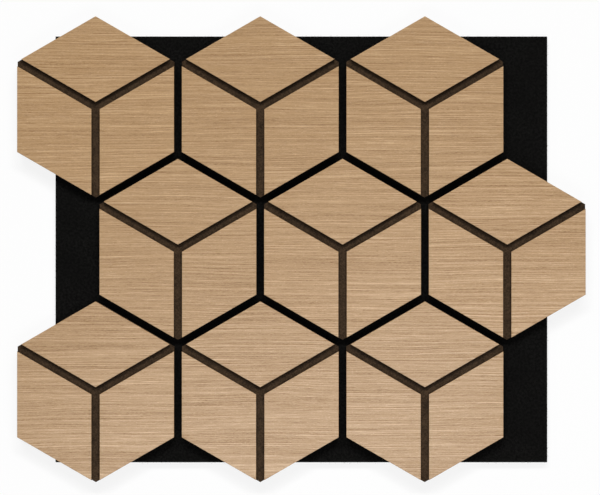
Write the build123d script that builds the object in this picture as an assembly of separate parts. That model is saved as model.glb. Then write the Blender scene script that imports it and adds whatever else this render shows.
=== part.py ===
from build123d import *

import math
import os

# Acoustic wall panel: nine oak-faced hexagonal tiles laid as a honeycomb on a felt backing.
# All sizes are in millimetres. The panel lies on its back, with +X along the rows of tiles,
# +Y towards the panel's top edge and +Z out of the oak faces.
# The origin is the middle of the felt's back face.

# The honeycomb. The tile size is measured between two opposite flats of the hexagon.
tile_across_flats = 190.5
tile_gap = 9.5
tile_columns = 3
tile_rows = 3

# The veneered board that the tiles are cut from
core_thickness = 11.4
veneer_thickness = 0.6
veneer_arris = 0.2

# The Y groove milled through the veneer, with its depth measured from the oak face
groove_width = 10.0
groove_depth = 5.0

# The felt backing
felt_thickness = 9.0

# Angles of the three cutter passes in degrees, towards every other corner of the hexagon
groove_angles = (30, 150, 270)

# The three oak leaves of a tile, in the order in which they follow each other round its middle
leaf_sides = ("top", "left", "right")

# Places that follow from the driving dimensions.
# The felt is as long and as wide as whole steps of the honeycomb,
# so that the next panel's felt butts against it and the tiles mesh across the joint.
tile_pitch = tile_across_flats + tile_gap
row_pitch = tile_pitch * math.sqrt(3) / 2
row_shift = tile_pitch / 2
tile_corner_radius = tile_across_flats / math.sqrt(3)
felt_length = tile_columns * tile_pitch
felt_width = tile_rows * row_pitch
core_top = felt_thickness + core_thickness
oak_face = core_top + veneer_thickness
groove_floor = oak_face - groove_depth
cutter_run_out = groove_width


def felt_sheet():
    """Flat felt sheet under the tiles, cut square."""
    outline = Rectangle(felt_length, felt_width)
    return extrude(outline, felt_thickness)


def tile_outline():
    """Hexagon that stands on a corner, so that the rows of tiles mesh. Every other corner ends a groove."""
    corners = 2 * len(groove_angles)
    return RegularPolygon(tile_corner_radius, corners, rotation=groove_angles[0])


def groove_outline():
    """Three straight cutter passes that meet in the middle of the tile and leave through its corners."""
    pass_length = tile_corner_radius + cutter_run_out
    cutter_pass = Rectangle(pass_length, groove_width, align=(Align.MIN, Align.CENTER))
    return Sketch() + [Rot(0, 0, angle) * cutter_pass for angle in groove_angles]


def tile_core():
    """Board under the veneer, with the Y groove sunk into its top face."""
    board = extrude(Pos(0, 0, felt_thickness) * tile_outline(), core_thickness)
    groove = extrude(Pos(0, 0, groove_floor) * groove_outline(), groove_depth)
    return board - groove


def top_oak_leaf():
    """Upper one of the three veneer rhombi that the groove leaves, with its face edges eased."""
    rhombi = tile_outline() - groove_outline()
    rhombus = rhombi.faces().sort_by(Axis.Y)[-1]
    leaf = extrude(Pos(0, 0, core_top) * rhombus, veneer_thickness)
    face_edges = leaf.edges().group_by(Axis.Z)[-1]
    return chamfer(face_edges, min(veneer_arris, veneer_thickness / 2))


def tile_places():
    """Name and place of each tile, with the even rows moved half a pitch against the odd ones."""
    for row in range(tile_rows):
        side = 1 if row % 2 else -1
        row_middle = side * row_shift / 2
        y = ((tile_rows - 1) / 2 - row) * row_pitch
        for column in range(tile_columns):
            x = (column - (tile_columns - 1) / 2) * tile_pitch + row_middle
            yield f"r{row + 1}c{column + 1}", Pos(x, y, 0)


def panel_pieces():
    """Every piece of the panel by name, in its place."""
    core = tile_core()
    leaf = top_oak_leaf()
    pieces = {"felt_backing": felt_sheet()}
    for tile, place in tile_places():
        pieces[f"tile_core_{tile}"] = place * core
        for side, groove_angle in zip(leaf_sides, groove_angles):
            turn = groove_angle - groove_angles[0]
            pieces[f"oak_leaf_{tile}_{side}"] = place * Rot(0, 0, turn) * leaf
    return pieces


os.makedirs("parts", exist_ok=True)
for name, piece in panel_pieces().items():
    export_step(piece, f"parts/{name}.step")
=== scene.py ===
"""Finishes of the hexagonal oak wall panel and the studio that it lies in.

All sizes are in metres. The panel lies on its back: +X runs along the rows of tiles, +Y to the panel's
top edge and +Z out of the oak faces.
"""

import math
import random
from typing import NamedTuple

import bmesh
import bpy
import numpy as np
from bpy.props import FloatProperty, FloatVectorProperty, IntProperty, PointerProperty
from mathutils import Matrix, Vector, noise


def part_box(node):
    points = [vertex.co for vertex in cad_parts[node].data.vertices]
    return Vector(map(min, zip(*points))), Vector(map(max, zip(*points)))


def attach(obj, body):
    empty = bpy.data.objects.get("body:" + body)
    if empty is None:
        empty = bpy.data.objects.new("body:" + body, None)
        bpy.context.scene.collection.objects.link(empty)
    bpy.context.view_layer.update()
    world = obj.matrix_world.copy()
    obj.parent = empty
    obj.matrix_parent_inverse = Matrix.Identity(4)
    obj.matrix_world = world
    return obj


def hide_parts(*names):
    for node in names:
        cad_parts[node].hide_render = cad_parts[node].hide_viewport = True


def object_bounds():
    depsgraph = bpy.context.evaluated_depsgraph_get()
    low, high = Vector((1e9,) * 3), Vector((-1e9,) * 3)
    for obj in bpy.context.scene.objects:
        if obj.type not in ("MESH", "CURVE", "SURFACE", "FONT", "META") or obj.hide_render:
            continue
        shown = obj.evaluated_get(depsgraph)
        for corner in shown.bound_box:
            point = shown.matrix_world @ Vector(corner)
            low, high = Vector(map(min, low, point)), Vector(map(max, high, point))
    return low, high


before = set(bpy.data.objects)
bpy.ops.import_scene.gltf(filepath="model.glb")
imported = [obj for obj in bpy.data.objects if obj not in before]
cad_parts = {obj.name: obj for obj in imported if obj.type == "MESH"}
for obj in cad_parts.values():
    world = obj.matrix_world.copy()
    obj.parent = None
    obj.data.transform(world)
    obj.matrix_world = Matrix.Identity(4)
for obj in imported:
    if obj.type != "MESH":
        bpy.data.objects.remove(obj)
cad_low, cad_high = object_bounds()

bl_info = {
    "name": "Hexagon Wall Panel",
    "version": (1, 0, 0),
    "blender": (4, 5, 0),
    "location": "View3D > Sidebar > Wall Panel",
    "description": "Finishes an acoustic wall panel of oak hexagons on felt and lights it",
    "category": "Object",
}

# Body that every piece rides on, file for the sizes, and the solids that are finished here
BODY = "root"
FELT_NODE = "felt_backing"
CORE_PREFIX = "tile_core_"
LEAF_PREFIX = "oak_leaf_"
felt_low, felt_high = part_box(FELT_NODE)
core_names = sorted(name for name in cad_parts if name.startswith(CORE_PREFIX))
leaf_names = sorted(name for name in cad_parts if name.startswith(LEAF_PREFIX))

# Angles in degrees at which the flats of a tile face, each standing for two opposite flats
TILE_FLATS = (0, 60, 120)

# Values that a mask runs between, its middle, and the values that most of a noise lies between
MASK_RANGE = (0.0, 1.0)
MASK_MIDDLE = 0.5
NOISE_RANGE = (0.3, 0.7)

# Pressed fibre: directions in degrees of the layers over each other, and the noise that shows as fibre
FIBRE_ANGLES = (20, 75, 140)
FIBRE_NOISE = (0.5, 0.8)

# Felt sheet: the turn in degrees above which an edge is rounded, the steps of the rounding, and the sizes
# of the dips in the open face
RIM_ANGLE = 60
RIM_STEPS = 3
FELT_DIPS = (0.022, 0.006)

# Felt finish: curl of the fibres, size of the mottle and the noise that it follows
FELT_CURL = 1.5
FELT_MOTTLE = 0.036
FELT_MOTTLE_NOISE = (0.2, 0.8)

# Share of fibre colour in thin and thick places of the felt, beside and in clumps, beside and on fibres
MOTTLE_SHARES = (0.65, 1.35)
CLUMP_SHARES = (0.05, 0.9)
FIBRE_SHARES = (0.35, 1.0)

# Shine of the felt: roughness beside and on fibres, specular level, sheen and the sheen's roughness
FELT_ROUGHNESS = (0.98, 0.86)
FELT_SPECULAR = 0.04
FELT_SHEEN = 0.01
FELT_SHEEN_ROUGHNESS = 0.5

# Loose fibres: slope and fan from the edge in radians, sideways bend in shares of the fibre's length, and
# the shortest fibre in shares of the longest
FUZZ_RISE = (-0.06, 0.10)
FUZZ_FAN = (-1.3, 1.3)
FUZZ_BEND = (-0.9, 0.9)
FUZZ_SHORTEST = 0.35

# Where loose fibres lie: height on the edges in shares of the felt's thickness, places tried for each fibre
# on the open face, and distance from the tiles in shares of the longest fibre
FUZZ_BAND = (0.15, 0.95)
FUZZ_TRIES = 20
FUZZ_CLEARANCE = 0.25

# Finish of the loose fibres: size of their spots and the noise that these follow, darkest and palest tone
# in shares of the fibre colour, and roughness
FUZZ_MOTTLE = 0.0025
FUZZ_NOISE = (0.35, 0.65)
FUZZ_TONES = (0.5, 1.4)
FUZZ_ROUGHNESS = (0.9, 0.7)

# Board: curl of its fibres, size of its blotches, and what fibres, clumps and blotches weigh in its tone
BOARD_CURL = 0.4
BOARD_BLOTCH = 0.011
BOARD_WEIGHTS = (0.5, 0.4, 0.6)

# The board's darkest and palest tone in shares of its colour, its roughness beside and on fibres, and its
# specular level
BOARD_TONES = (0.30, 1.85)
BOARD_ROUGHNESS = (0.62, 0.50)
BOARD_SPECULAR = 0.03

# Oak: length and width of the slow waves in the grain, how far they move it, and how far from the veneer's
# middle a tile may be cut
GRAIN_WAVE = (0.20, 0.045)
GRAIN_WAVE_HEIGHT = 0.010
VENEER_REACH = 4.0

# Roughness of the oak, as its grain goes from the darker to the paler of these shades
OAK_SHADES = (0.2, 0.8)
OAK_ROUGHNESS = (0.42, 0.36)

# Lamps: place, point aimed at, width and depth. Of the two key lamps the place is that of the right one.
KEY_LAMP_PLACE = (1.8, 5.4, 5.8)
KEY_LAMP_AIM = (0.0, 0.0, 0.0)
KEY_LAMP_SIZE = (3.4, 1.2)
LOW_LAMP_PLACE = (0.05, -0.6, 0.95)
LOW_LAMP_AIM = (0.0, -0.2, 0.0)
LOW_LAMP_SIZE = (1.0, 0.4)
GLOSS_CARD_PLACE = (0.04, -0.38, 1.3)
GLOSS_CARD_AIM = (0.0, -0.25, 0.0)
GLOSS_CARD_SIZE = (1.3, 0.6)

# Width of the camera's sensor, gap between felt and floor, and the light strength that looks white
SENSOR_WIDTH_MM = 36.0
FLOOR_GAP = 0.0002
WHITE_STRENGTH = 1.0


class GrainLayer(NamedTuple):
    """Noise drawn out along the grain. Length and width are in grain lines, and shift picks its own noise.

    A layer with appears shows only where the noise passes that range, and the others all over.
    """

    length: float
    width: float
    shift: float
    weight: float
    detail: float = 1.0
    appears: tuple = ()


# Long lines of the grain, in whose dark parts the pores crowd
LONG_LINES = GrainLayer(2.0, 1.0, shift=7.7, weight=0.85)

# Broad bands, shorter lines and strokes all over, and scattered dark lines, short dark lines, pale lines
# and pale flecks
GRAIN_LAYERS = (
    GrainLayer(3.0, 12.0, shift=3.1, weight=0.25, detail=2.0),
    GrainLayer(0.5, 0.9, shift=17.1, weight=0.60),
    GrainLayer(0.11, 0.8, shift=12.3, weight=0.50),
    GrainLayer(0.8, 1.5, shift=21.9, weight=-0.18, appears=(0.60, 0.74)),
    GrainLayer(0.2, 1.2, shift=27.3, weight=-0.18, appears=(0.62, 0.76)),
    GrainLayer(0.3, 1.3, shift=33.3, weight=0.14, appears=(0.60, 0.76)),
    GrainLayer(0.02, 0.5, shift=57.9, weight=0.18, detail=0.0, appears=(0.62, 0.74)),
)

# Open pores, the noise of the long lines over which they go from none to all, and the shade of plain oak
PORES = GrainLayer(0.03, 0.25, shift=41.7, weight=-0.32, detail=0.0, appears=(0.54, 0.64))
PORES_CROWD = (0.62, 0.38)
GRAIN_MIDDLE = 0.525


# Settings that a user would change


class FeltSettings(bpy.types.PropertyGroup):
    """Colour and make of the felt backing."""

    colour: FloatVectorProperty(
        name="Felt", description="Colour between the fibres",
        subtype="COLOR", default=(0.0019, 0.0018, 0.0016),
    )
    fibre_colour: FloatVectorProperty(
        name="Fibre", description="Colour of the fibres that catch the light",
        subtype="COLOR", default=(0.0150, 0.0144, 0.0133),
    )
    fibre_length: FloatProperty(
        name="Fibre length", description="Length of the fibres in the face",
        unit="LENGTH", default=0.0030,
    )
    fibre_width: FloatProperty(
        name="Fibre width", description="Width of the fibre strands in the face",
        unit="LENGTH", default=0.00028,
    )
    relief: FloatProperty(
        name="Relief", description="Height of the fibre tangle", unit="LENGTH", default=0.0004
    )
    edge_radius: FloatProperty(
        name="Edge", description="Rounding of the cut edges", unit="LENGTH", default=0.0008
    )
    unevenness: FloatProperty(
        name="Unevenness", description="Depth of the dips in the open face",
        unit="LENGTH", default=0.00025,
    )
    cell: FloatProperty(
        name="Cell", description="Spacing of the mesh over the faces", unit="LENGTH", default=0.006
    )
    face_fuzz: IntProperty(
        name="Face fuzz", description="Number of loose fibres on the open face", default=1800
    )
    edge_fuzz: IntProperty(
        name="Edge fuzz", description="Number of loose fibres on the cut edges", default=700
    )
    fuzz_length: FloatProperty(
        name="Fuzz length", description="Length of the longest loose fibre",
        unit="LENGTH", default=0.0045,
    )
    fuzz_width: FloatProperty(
        name="Fuzz width", description="Width of a loose fibre", unit="LENGTH", default=0.00012
    )
    seed: IntProperty(name="Seed", description="Places the loose fibres", default=5)


class BoardSettings(bpy.types.PropertyGroup):
    """Colour and fibre of the dark board under the veneer."""

    colour: FloatVectorProperty(
        name="Board", description="Mean colour of the fibreboard",
        subtype="COLOR", default=(0.050, 0.0305, 0.0168),
    )
    fibre_length: FloatProperty(
        name="Fibre length", description="Length of the pressed wood fibres",
        unit="LENGTH", default=0.0022,
    )
    fibre_width: FloatProperty(
        name="Fibre width", description="Width of the pressed wood fibres",
        unit="LENGTH", default=0.00030,
    )
    relief: FloatProperty(
        name="Relief", description="Height of the raised fibre on cut faces",
        unit="LENGTH", default=0.00008,
    )


class OakSettings(bpy.types.PropertyGroup):
    """Colour and grain of the oak veneer."""

    face_colour: FloatVectorProperty(
        name="Face", description="Mean colour of the oak",
        subtype="COLOR", default=(0.394, 0.233, 0.099),
    )
    dark_colour: FloatVectorProperty(
        name="Dark grain", description="Colour of the darkest lines",
        subtype="COLOR", default=(0.199, 0.091, 0.016),
    )
    pale_colour: FloatVectorProperty(
        name="Pale grain", description="Colour of the palest lines",
        subtype="COLOR", default=(0.655, 0.443, 0.252),
    )
    line_length: FloatProperty(
        name="Line length", description="Typical length of a grain line",
        unit="LENGTH", default=0.130,
    )
    line_width: FloatProperty(
        name="Line width", description="Typical width of a grain line",
        unit="LENGTH", default=0.00075,
    )
    contrast: FloatProperty(
        name="Contrast", description="Strength of the grain", subtype="FACTOR", default=1.03
    )
    relief: FloatProperty(
        name="Relief", description="Depth of the open grain", unit="LENGTH", default=0.000022
    )
    tone_spread: FloatProperty(
        name="Tone spread", description="How much the tiles differ in brightness",
        subtype="FACTOR", default=0.03,
    )
    seed: IntProperty(
        name="Seed", description="Chooses the pieces of veneer that the tiles were cut from", default=11
    )


class StudioSettings(bpy.types.PropertyGroup):
    """Camera, floor and lamps."""

    camera_height: FloatProperty(
        name="Camera height", description="Distance from the oak faces to the camera",
        unit="LENGTH", default=2.6,
    )
    view_width: FloatProperty(
        name="View width", description="Width of the picture at the oak faces",
        unit="LENGTH", default=0.7286,
    )
    aim: FloatVectorProperty(
        name="Aim", description="Point of the panel at the middle of the picture",
        size=2, unit="LENGTH", default=(-0.0017, 0.0023),
    )
    floor_size: FloatProperty(
        name="Floor", description="Length of the floor's sides", unit="LENGTH", default=14.0
    )
    floor_colour: FloatVectorProperty(
        name="Floor colour", description="Colour of the pale floor",
        subtype="COLOR", default=(0.97, 0.97, 0.97),
    )
    floor_white: FloatProperty(
        name="White", description="Share of plain white that the camera sees in the floor",
        subtype="FACTOR", default=0.86,
    )
    key_power: FloatProperty(
        name="Key lamps", description="Power of each of the two key lamps",
        unit="POWER", default=335.0,
    )
    low_power: FloatProperty(
        name="Low lamp", description="Power of the fill lamp at the bottom edge",
        unit="POWER", default=2.95,
    )
    card_power: FloatProperty(
        name="Gloss card", description="Power of the card that the lower tiles reflect",
        unit="POWER", default=11.8,
    )
    sky_strength: FloatProperty(
        name="Sky", description="Strength of the even light from all round", default=0.068
    )


# Shader building blocks


def add_node(tree, kind, inputs=None, **settings):
    """Adds a node, sets its properties, and feeds its inputs with values or with sockets."""
    made = tree.nodes.new(kind)
    for name, value in settings.items():
        setattr(made, name, value)
    for key, value in (inputs or {}).items():
        socket = made.inputs[key]
        if isinstance(value, bpy.types.NodeSocket):
            tree.links.new(value, socket)
        else:
            socket.default_value = value
    return made


def calculate(tree, operation, first, second=0.0):
    """Output of a Math node."""
    return add_node(tree, "ShaderNodeMath", {0: first, 1: second}, operation=operation).outputs[0]


def weighted_sum(tree, start, layers):
    """Start value plus each layer times its weight."""
    total = start
    for layer, weight in layers:
        total = calculate(tree, "ADD", total, calculate(tree, "MULTIPLY", layer, weight))
    return total


def centred(tree, mask):
    """Mask moved from 0 to 1 to about nought, so that adding it keeps the mean."""
    return calculate(tree, "SUBTRACT", mask, MASK_MIDDLE)


def ease(tree, value, source, target=MASK_RANGE):
    """Smooth step through the target range as value goes through the source range."""
    ends = dict(zip(("From Min", "From Max", "To Min", "To Max"), (*source, *target)))
    step = add_node(tree, "ShaderNodeMapRange", {"Value": value, **ends}, interpolation_type="SMOOTHSTEP")
    return step.outputs["Result"]


def mix_colours(tree, share, first, second):
    """Colour between first and second. Sockets 6, 7 and 2 of a Mix node are those for colours."""
    made = add_node(tree, "ShaderNodeMix", {"Factor": share, 6: first, 7: second}, data_type="RGBA")
    return made.outputs[2]


def scaled(tree, place, factors):
    """Place with each coordinate multiplied by its own factor, which may be a socket."""
    vector = add_node(tree, "ShaderNodeCombineXYZ", dict(enumerate(factors))).outputs[0]
    return add_node(tree, "ShaderNodeVectorMath", {0: place, 1: vector}, operation="MULTIPLY").outputs[0]


def moved(tree, place, offset):
    """Place moved by an offset, which may be a socket."""
    return add_node(tree, "ShaderNodeVectorMath", {0: place, 1: offset}, operation="ADD").outputs[0]


def cloud(tree, place, size=1.0, detail=2.0, roughness=0.5, distortion=0.0):
    """Soft noise whose blobs are about size across."""
    values = {"Scale": 1.0 / size, "Detail": detail, "Roughness": roughness, "Distortion": distortion}
    made = add_node(tree, "ShaderNodeTexNoise", {"Vector": place, **values}, noise_dimensions="3D")
    return made.outputs["Fac"]


def new_group(name, sockets):
    """Empty shader group with the given inputs and outputs, and its two end nodes."""
    tree = bpy.data.node_groups.new(name, "ShaderNodeTree")
    for label, direction, kind in sockets:
        tree.interface.new_socket(name=label, in_out=direction, socket_type=kind)
    entry = tree.nodes.new("NodeGroupInput")
    leave = tree.nodes.new("NodeGroupOutput")
    return tree, entry.outputs, leave.inputs


def shared_group(name, build):
    """Shader group of that name, built the first time that a material needs it."""
    return bpy.data.node_groups.get(name) or build(name)


def new_material(name):
    """Material with a Principled BSDF, and the piece's own coordinates."""
    material = bpy.data.materials.new(name)
    material.use_nodes = True
    tree = material.node_tree
    shader = tree.nodes["Principled BSDF"]
    place = tree.nodes.new("ShaderNodeTexCoord").outputs["Object"]
    return material, tree, shader, place


def bumped(tree, shader, height, distance):
    """Feeds the shader's normal with a height in shares of distance."""
    bump = add_node(tree, "ShaderNodeBump", {"Height": height, "Distance": distance})
    tree.links.new(bump.outputs["Normal"], shader.inputs["Normal"])


def opaque(colour, brightness=1.0):
    """Colour with full alpha, made brighter or darker."""
    return (*(value * brightness for value in colour), 1.0)


def add_piece(context, name, mesh, material):
    """Object at the origin that carries the mesh and rides on the panel."""
    mesh.materials.append(material)
    piece = bpy.data.objects.new(name, mesh)
    context.scene.collection.objects.link(piece)
    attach(piece, BODY)
    return piece


def dress(names, material_of):
    """Gives the named solids their materials."""
    for name in names:
        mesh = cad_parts[name].data
        mesh.materials.clear()
        mesh.materials.append(material_of(name))


# Pressed fibre, shared by the felt and the board


def fibre_group(name):
    """Fibres that lie flat in XY, in layers over each other, and the clumps that they gather in."""
    tree, given, result = new_group(
        name,
        (
            ("Place", "INPUT", "NodeSocketVector"),
            ("Length", "INPUT", "NodeSocketFloat"),
            ("Width", "INPUT", "NodeSocketFloat"),
            ("Curl", "INPUT", "NodeSocketFloat"),
            ("Fibres", "OUTPUT", "NodeSocketFloat"),
            ("Clumps", "OUTPUT", "NodeSocketFloat"),
        ),
    )
    along = calculate(tree, "DIVIDE", 1.0, given["Length"])
    across = calculate(tree, "DIVIDE", 1.0, given["Width"])
    fibres = 0.0
    for degrees in FIBRE_ANGLES:
        turn = {"Vector": given["Place"], "Rotation": (0.0, 0.0, math.radians(degrees))}
        turned = add_node(tree, "ShaderNodeMapping", turn).outputs[0]
        spread = scaled(tree, turned, (along, across, across))
        layer = cloud(tree, spread, detail=1.0, distortion=given["Curl"])
        fibres = calculate(tree, "MAXIMUM", fibres, layer)
    tree.links.new(ease(tree, fibres, FIBRE_NOISE), result["Fibres"])
    clumps = cloud(tree, scaled(tree, given["Place"], (along, along, along)), detail=3.0, roughness=0.6)
    tree.links.new(ease(tree, clumps, NOISE_RANGE), result["Clumps"])
    return tree


def pressed_fibre(tree, place, settings, curl):
    """Fibre and clump masks at the sizes that the settings give."""
    group = shared_group("Pressed fibre", fibre_group)
    sizes = {"Length": settings.fibre_length, "Width": settings.fibre_width, "Curl": curl}
    made = add_node(tree, "ShaderNodeGroup", {"Place": place, **sizes}, node_tree=group)
    return made.outputs["Fibres"], made.outputs["Clumps"]


# Felt backing


def felt_mesh(settings):
    """Flat felt sheet with soft cut edges and a slightly uneven open face."""
    size = felt_high - felt_low
    columns = round(size.x / settings.cell)
    rows = round(size.y / settings.cell)
    shape = bmesh.new()
    bmesh.ops.create_grid(shape, x_segments=columns, y_segments=rows, size=0.5)
    bmesh.ops.scale(shape, vec=(size.x, size.y, 1.0), verts=shape.verts)
    bmesh.ops.translate(shape, vec=(0.0, 0.0, felt_high.z), verts=shape.verts)
    face = bmesh.ops.extrude_face_region(shape, geom=shape.faces[:])
    lower = [item for item in face["geom"] if isinstance(item, bmesh.types.BMVert)]
    bmesh.ops.translate(shape, vec=(0.0, 0.0, -size.z), verts=lower)
    bmesh.ops.recalc_face_normals(shape, faces=shape.faces)
    rim = [edge for edge in shape.edges if edge.calc_face_angle(0.0) > math.radians(RIM_ANGLE)]
    bmesh.ops.bevel(
        shape,
        geom=rim,
        offset=settings.edge_radius,
        affect="EDGES",
        segments=RIM_STEPS,
        profile=0.5,
        material=-1,
    )
    open_face = [vert for vert in shape.verts if vert.co.z > felt_high.z - settings.edge_radius / 10]
    for vert in open_face:
        waves = [noise.noise(vert.co / dip) for dip in FELT_DIPS]
        depth = 0.5 + 0.5 * sum(waves) / len(waves)
        vert.co.z -= settings.unevenness * depth
    mesh = bpy.data.meshes.new("felt_sheet")
    shape.to_mesh(mesh)
    shape.free()
    mesh.shade_smooth()
    return mesh


def fibre_shape():
    """Points and faces of a three-sided fibre along Z, of length and width 1, cut in three to bend."""
    shape = bmesh.new()
    bmesh.ops.create_cone(shape, cap_ends=True, segments=3, radius1=0.5, radius2=0.5, depth=1.0)
    long_edges = [edge for edge in shape.edges if edge.calc_length() > 0.95]
    bmesh.ops.subdivide_edges(shape, edges=long_edges, cuts=2)
    shape.verts.index_update()
    points = np.array([vert.co for vert in shape.verts])
    faces = [[vert.index for vert in face.verts] for face in shape.faces]
    shape.free()
    return points, faces


def uncovered(places, margin):
    """True for each place on the felt that is further than margin from every tile."""
    angles = np.radians(TILE_FLATS)
    flats = np.stack([np.cos(angles), np.sin(angles)])
    clear = np.full(len(places), True)
    for name in core_names:
        low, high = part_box(name)
        offset = places[:, :2] - np.array((low + high)[:2]) / 2
        reach = (high.x - low.x) / 2 + margin
        clear &= (np.abs(offset @ flats) > reach).any(axis=1)
    return clear


def face_fuzz(settings, draw):
    """Places and headings of the loose fibres on the open face."""
    tries = FUZZ_TRIES * settings.face_fuzz
    places = draw.uniform(felt_low, felt_high, (tries, 3))
    places[:, 2] = felt_high.z - settings.unevenness / 2
    places = places[uncovered(places, FUZZ_CLEARANCE * settings.fuzz_length)][: settings.face_fuzz]
    return places, draw.uniform(0.0, math.tau, len(places))


def edge_fuzz(settings, draw):
    """Places and headings of the loose fibres on the four cut edges, which stand out to all sides."""
    size = felt_high - felt_low
    lengths = (size.y, size.x)
    places, headings = [], []
    for side in range(4):
        run = lengths[side % 2]
        reach = lengths[1 - side % 2] / 2
        count = round(settings.edge_fuzz * run / (2 * sum(lengths)))
        angle = side * math.pi / 2
        outward = np.array((math.cos(angle), math.sin(angle), 0.0))
        sideways = np.array((-math.sin(angle), math.cos(angle), 0.0))
        along = draw.uniform(-run / 2, run / 2, count)
        place = outward * reach + sideways * along[:, None]
        place[:, 2] = felt_low.z + size.z * draw.uniform(*FUZZ_BAND, count)
        places.append(place)
        headings.append(angle + draw.uniform(*FUZZ_FAN, count))
    return np.concatenate(places), np.concatenate(headings)


def fuzz_mesh(settings):
    """Loose fibres on the felt's open face and cut edges, joined as one mesh."""
    draw = np.random.default_rng(settings.seed)
    points, faces = fibre_shape()
    found = (face_fuzz(settings, draw), edge_fuzz(settings, draw))
    places = np.concatenate([place for place, heading in found])
    headings = np.concatenate([heading for place, heading in found])
    count = len(places)
    rises = draw.uniform(*FUZZ_RISE, count)
    lengths = settings.fuzz_length * draw.uniform(FUZZ_SHORTEST, 1.0, count)
    bends = lengths * draw.uniform(*FUZZ_BEND, count)
    level = np.cos(rises)
    along = np.stack([np.cos(headings) * level, np.sin(headings) * level, np.sin(rises)], axis=1)
    sideways = np.stack([-np.sin(headings), np.cos(headings), np.zeros(count)], axis=1)
    upward = np.cross(along, sideways)
    width, height, reach = points.T
    aside = width * settings.fuzz_width + np.outer(bends, reach**2)
    corners = (
        places[:, None]
        + np.outer(lengths, reach)[..., None] * along[:, None]
        + aside[..., None] * sideways[:, None]
        + (height * settings.fuzz_width)[:, None] * upward[:, None]
    )
    starts = range(0, count * len(points), len(points))
    joined = [[start + corner for corner in face] for start in starts for face in faces]
    mesh = bpy.data.meshes.new("felt_fuzz")
    mesh.from_pydata(corners.reshape(-1, 3), [], joined)
    mesh.shade_smooth()
    return mesh


def felt_material(settings):
    """Needled black felt: fibres over a darker ground, thicker in some places than in others."""
    material, tree, shader, place = new_material("Black felt")
    fibres, clumps = pressed_fibre(tree, place, settings, FELT_CURL)
    mottle = cloud(tree, place, FELT_MOTTLE, detail=3.0)
    thickness = ease(tree, mottle, FELT_MOTTLE_NOISE, MOTTLE_SHARES)
    cover = calculate(tree, "MULTIPLY", ease(tree, clumps, MASK_RANGE, CLUMP_SHARES), thickness)
    share = calculate(tree, "MULTIPLY", cover, ease(tree, fibres, MASK_RANGE, FIBRE_SHARES))
    colour = mix_colours(tree, share, opaque(settings.colour), opaque(settings.fibre_colour))
    tree.links.new(colour, shader.inputs["Base Color"])
    tree.links.new(ease(tree, fibres, MASK_RANGE, FELT_ROUGHNESS), shader.inputs["Roughness"])
    shader.inputs["Specular IOR Level"].default_value = FELT_SPECULAR
    shader.inputs["Sheen Weight"].default_value = FELT_SHEEN
    shader.inputs["Sheen Roughness"].default_value = FELT_SHEEN_ROUGHNESS
    bumped(tree, shader, calculate(tree, "ADD", fibres, clumps), settings.relief)
    return material


def fuzz_material(settings):
    """Single fibres, each a little paler or darker."""
    material, tree, shader, place = new_material("Loose fibre")
    tone = cloud(tree, place, FUZZ_MOTTLE, detail=1.0)
    dark, pale = (opaque(settings.fibre_colour, share) for share in FUZZ_TONES)
    colour = mix_colours(tree, ease(tree, tone, FUZZ_NOISE), dark, pale)
    tree.links.new(colour, shader.inputs["Base Color"])
    tree.links.new(ease(tree, tone, NOISE_RANGE, FUZZ_ROUGHNESS), shader.inputs["Roughness"])
    shader.inputs["Specular IOR Level"].default_value = FELT_SPECULAR
    return material


class WALLPANEL_OT_lay_felt(bpy.types.Operator):
    """Builds the felt sheet that the tiles are glued to, with its loose fibres"""

    bl_idname = "wall_panel.lay_felt"
    bl_label = "Lay felt"

    def execute(self, context):
        settings = context.scene.wall_panel_felt
        sheet = add_piece(context, "felt_sheet", felt_mesh(settings), felt_material(settings))
        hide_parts(FELT_NODE)
        fuzz = add_piece(context, "felt_fuzz", fuzz_mesh(settings), fuzz_material(settings))
        return {"FINISHED"}


# Fibreboard cores


def board_material(settings):
    """Dark fibreboard as cut: pressed fibre that lies flat in the board."""
    material, tree, shader, place = new_material("Dark fibreboard")
    fibres, clumps = pressed_fibre(tree, place, settings, BOARD_CURL)
    masks = (fibres, clumps, cloud(tree, place, BOARD_BLOTCH))
    layers = [(centred(tree, mask), weight) for mask, weight in zip(masks, BOARD_WEIGHTS)]
    tone = weighted_sum(tree, MASK_MIDDLE, layers)
    dark, pale = (opaque(settings.colour, share) for share in BOARD_TONES)
    tree.links.new(mix_colours(tree, tone, dark, pale), shader.inputs["Base Color"])
    tree.links.new(ease(tree, fibres, MASK_RANGE, BOARD_ROUGHNESS), shader.inputs["Roughness"])
    shader.inputs["Specular IOR Level"].default_value = BOARD_SPECULAR
    bumped(tree, shader, fibres, settings.relief)
    return material


class WALLPANEL_OT_finish_cores(bpy.types.Operator):
    """Gives the tile cores their dark fibreboard"""

    bl_idname = "wall_panel.finish_cores"
    bl_label = "Finish tile cores"

    def execute(self, context):
        material = board_material(context.scene.wall_panel_board)
        dress(core_names, lambda name: material)
        return {"FINISHED"}


# Oak veneer


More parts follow.
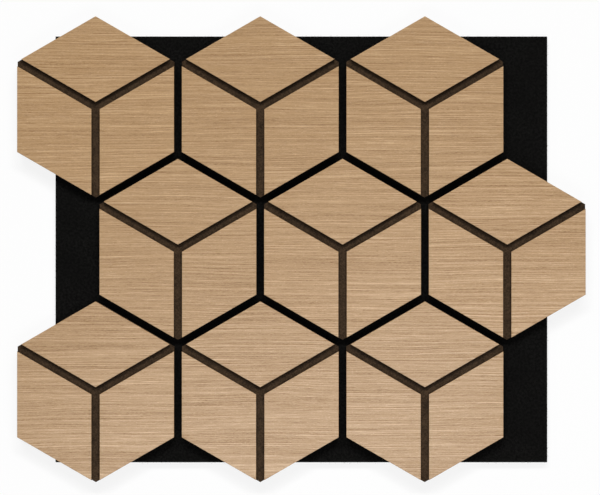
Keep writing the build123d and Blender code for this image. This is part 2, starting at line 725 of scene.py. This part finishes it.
def oak_grain_group(name):
    """Straight-grained oak along X. Shade runs from 0, the darkest line, to 1, the palest."""
    tree, given, result = new_group(
        name,
        (
            ("Place", "INPUT", "NodeSocketVector"),
            ("Line Length", "INPUT", "NodeSocketFloat"),
            ("Line Width", "INPUT", "NodeSocketFloat"),
            ("Contrast", "INPUT", "NodeSocketFloat"),
            ("Shade", "OUTPUT", "NodeSocketFloat"),
            ("Pores", "OUTPUT", "NodeSocketFloat"),
        ),
    )
    along = calculate(tree, "DIVIDE", 1.0, given["Line Length"])
    across = calculate(tree, "DIVIDE", 1.0, given["Line Width"])
    wave_length, wave_width = GRAIN_WAVE
    slow = cloud(tree, scaled(tree, given["Place"], (1.0 / wave_length, 1.0 / wave_width, 0.0)), detail=1.0)
    sway = calculate(tree, "MULTIPLY", centred(tree, slow), GRAIN_WAVE_HEIGHT)
    lift = add_node(tree, "ShaderNodeCombineXYZ", {"Y": sway}).outputs[0]
    wavy = moved(tree, given["Place"], lift)

    def streaks(layer):
        """Noise of one layer, or the mask of where it appears."""
        factors = (
            calculate(tree, "DIVIDE", along, layer.length),
            calculate(tree, "DIVIDE", across, layer.width),
            0.0,
        )
        spread = moved(tree, scaled(tree, wavy, factors), (layer.shift, layer.shift, layer.shift))
        drawn = cloud(tree, spread, detail=layer.detail)
        return ease(tree, drawn, layer.appears) if layer.appears else drawn

    lines = streaks(LONG_LINES)
    pores = calculate(tree, "MULTIPLY", streaks(PORES), ease(tree, lines, PORES_CROWD))
    layers = [(centred(tree, lines), LONG_LINES.weight), (pores, PORES.weight)]
    for layer in GRAIN_LAYERS:
        drawn = streaks(layer)
        layers.append((drawn if layer.appears else centred(tree, drawn), layer.weight))
    grain = weighted_sum(tree, 0.0, layers)
    shade = calculate(tree, "ADD", calculate(tree, "MULTIPLY", grain, given["Contrast"]), GRAIN_MIDDLE)
    tree.links.new(shade, result["Shade"])
    tree.links.new(pores, result["Pores"])
    return tree


def oak_material(tile, settings, offset, brightness):
    """Matt lacquered oak of one tile, cut from its own place in the veneer."""
    material, tree, shader, place = new_material(f"Oak veneer {tile}")
    cut = add_node(tree, "ShaderNodeMapping", {"Vector": place, "Location": offset}).outputs[0]
    group = shared_group("Oak grain", oak_grain_group)
    inputs = {
        "Place": cut,
        "Line Length": settings.line_length,
        "Line Width": settings.line_width,
        "Contrast": settings.contrast,
    }
    grain = add_node(tree, "ShaderNodeGroup", inputs, node_tree=group)
    shade = grain.outputs["Shade"]
    dark = opaque(settings.dark_colour, brightness)
    face = opaque(settings.face_colour, brightness)
    pale = opaque(settings.pale_colour, brightness)
    below = mix_colours(tree, ease(tree, shade, (0.0, MASK_MIDDLE)), dark, face)
    colour = mix_colours(tree, ease(tree, shade, (MASK_MIDDLE, 1.0)), below, pale)
    tree.links.new(colour, shader.inputs["Base Color"])
    tree.links.new(ease(tree, shade, OAK_SHADES, OAK_ROUGHNESS), shader.inputs["Roughness"])
    height = calculate(tree, "SUBTRACT", shade, grain.outputs["Pores"])
    bumped(tree, shader, height, settings.relief)
    return material


def tile_of(leaf_name):
    """Name of the tile that an oak leaf lies on."""
    return leaf_name[len(LEAF_PREFIX):].split("_")[0]


class WALLPANEL_OT_finish_oak(bpy.types.Operator):
    """Gives the oak leaves of every tile their own cut of veneer"""

    bl_idname = "wall_panel.finish_oak"
    bl_label = "Finish oak leaves"

    def execute(self, context):
        settings = context.scene.wall_panel_oak
        draw = random.Random(settings.seed)
        materials = {}
        for tile in sorted({tile_of(name) for name in leaf_names}):
            x, y = (draw.uniform(-VENEER_REACH, VENEER_REACH) for _ in range(2))
            brightness = 1.0 + draw.uniform(-settings.tone_spread, settings.tone_spread)
            materials[tile] = oak_material(tile, settings, (x, y, 0.0), brightness)
        dress(leaf_names, lambda name: materials[tile_of(name)])
        return {"FINISHED"}


# Studio


def seen_ray(tree):
    """1 for rays that show the background itself: from the camera, in a reflection or through glass."""
    path = tree.nodes.new("ShaderNodeLightPath").outputs
    either = calculate(tree, "MAXIMUM", path["Is Camera Ray"], path["Is Glossy Ray"])
    return calculate(tree, "MAXIMUM", either, path["Is Transmission Ray"])


def floor_material(settings):
    """Pale matt floor that looks white, with enough of its own shading left to keep the panel's shadow."""
    material = bpy.data.materials.new("Pale floor")
    material.use_nodes = True
    tree = material.node_tree
    tree.nodes.clear()
    matt = add_node(tree, "ShaderNodeBsdfDiffuse", {"Color": opaque(settings.floor_colour)})
    white = add_node(tree, "ShaderNodeEmission", {"Strength": WHITE_STRENGTH})
    share = calculate(tree, "MULTIPLY", seen_ray(tree), settings.floor_white)
    both = add_node(tree, "ShaderNodeMixShader", {0: share, 1: matt.outputs[0], 2: white.outputs[0]})
    add_node(tree, "ShaderNodeOutputMaterial", {"Surface": both.outputs[0]})
    return material


def add_floor(context, settings):
    """Large plane just under the felt."""
    shape = bmesh.new()
    bmesh.ops.create_grid(shape, x_segments=1, y_segments=1, size=settings.floor_size / 2)
    bmesh.ops.translate(shape, vec=(0.0, 0.0, cad_low.z - FLOOR_GAP), verts=shape.verts)
    mesh = bpy.data.meshes.new("floor")
    shape.to_mesh(mesh)
    shape.free()
    mesh.materials.append(floor_material(settings))
    floor = bpy.data.objects.new("floor", mesh)
    context.scene.collection.objects.link(floor)


def add_lamp(context, name, place, target, size, power):
    """Soft rectangular lamp that points at target."""
    data = bpy.data.lights.new(name, "AREA")
    data.shape = "RECTANGLE"
    data.size, data.size_y = size
    data.energy = power
    lamp = bpy.data.objects.new(name, data)
    lamp.location = place
    lamp.rotation_euler = (Vector(target) - Vector(place)).to_track_quat("-Z", "Y").to_euler()
    lamp.visible_camera = False
    context.scene.collection.objects.link(lamp)
    return lamp


def add_lamps(context, settings):
    """Two key lamps past the top edge, a fill lamp near the bottom edge, and a card for the gloss."""
    x, y, z = KEY_LAMP_PLACE
    for side, name in ((-1, "left_key_lamp"), (1, "right_key_lamp")):
        add_lamp(context, name, (side * x, y, z), KEY_LAMP_AIM, KEY_LAMP_SIZE, settings.key_power)
    add_lamp(context, "low_lamp", LOW_LAMP_PLACE, LOW_LAMP_AIM, LOW_LAMP_SIZE, settings.low_power)
    power = settings.card_power
    card = add_lamp(context, "gloss_card", GLOSS_CARD_PLACE, GLOSS_CARD_AIM, GLOSS_CARD_SIZE, power)
    card.visible_diffuse = False


def add_sky(context, settings):
    """Even grey light from all round, which looks white behind the floor."""
    world = bpy.data.worlds.new("Studio")
    world.use_nodes = True
    tree = world.node_tree
    background = tree.nodes["Background"]
    background.inputs["Color"].default_value = (1.0, 1.0, 1.0, 1.0)
    strength = ease(tree, seen_ray(tree), MASK_RANGE, (settings.sky_strength, WHITE_STRENGTH))
    tree.links.new(strength, background.inputs["Strength"])
    context.scene.world = world


def add_camera(context, settings):
    """Camera straight above the panel, with the panel's top edge up in the picture."""
    data = bpy.data.cameras.new("camera")
    data.sensor_width = SENSOR_WIDTH_MM
    data.lens = SENSOR_WIDTH_MM * settings.camera_height / settings.view_width
    camera = bpy.data.objects.new("camera", data)
    camera.location = (*settings.aim, cad_high.z + settings.camera_height)
    context.scene.collection.objects.link(camera)
    context.scene.camera = camera


class WALLPANEL_OT_set_stage(bpy.types.Operator):
    """Sets up the floor, the lamps, the sky and the camera"""

    bl_idname = "wall_panel.set_stage"
    bl_label = "Set stage"

    def execute(self, context):
        settings = context.scene.wall_panel_studio
        context.scene.view_settings.view_transform = "Standard"
        add_floor(context, settings)
        add_lamps(context, settings)
        add_sky(context, settings)
        add_camera(context, settings)
        return {"FINISHED"}


# Sidebar


class WALLPANEL_PT_sidebar(bpy.types.Panel):
    """Lists the panel's settings and the steps that finish it"""

    bl_label = "Wall Panel"
    bl_idname = "WALLPANEL_PT_sidebar"
    bl_space_type = "VIEW_3D"
    bl_region_type = "UI"
    bl_category = "Wall Panel"

    def draw(self, context):
        for group_name, step in STEPS:
            box = self.layout.box()
            group = getattr(context.scene, group_name)
            for name in group.__annotations__:
                box.prop(group, name)
            box.operator(step)


SETTINGS = {
    "wall_panel_felt": FeltSettings,
    "wall_panel_board": BoardSettings,
    "wall_panel_oak": OakSettings,
    "wall_panel_studio": StudioSettings,
}
OPERATORS = (
    WALLPANEL_OT_lay_felt,
    WALLPANEL_OT_finish_cores,
    WALLPANEL_OT_finish_oak,
    WALLPANEL_OT_set_stage,
)
STEPS = tuple(zip(SETTINGS, (operator.bl_idname for operator in OPERATORS)))


def register():
    for name, group in SETTINGS.items():
        bpy.utils.register_class(group)
        setattr(bpy.types.Scene, name, PointerProperty(type=group))
    for operator in OPERATORS:
        bpy.utils.register_class(operator)
    bpy.utils.register_class(WALLPANEL_PT_sidebar)


def unregister():
    bpy.utils.unregister_class(WALLPANEL_PT_sidebar)
    for operator in reversed(OPERATORS):
        bpy.utils.unregister_class(operator)
    for name, group in reversed(SETTINGS.items()):
        delattr(bpy.types.Scene, name)
        bpy.utils.unregister_class(group)


def main():
    register()
    bpy.ops.wall_panel.lay_felt()
    bpy.ops.wall_panel.finish_cores()
    bpy.ops.wall_panel.finish_oak()
    bpy.ops.wall_panel.set_stage()


if __name__ == "__main__":
    main()
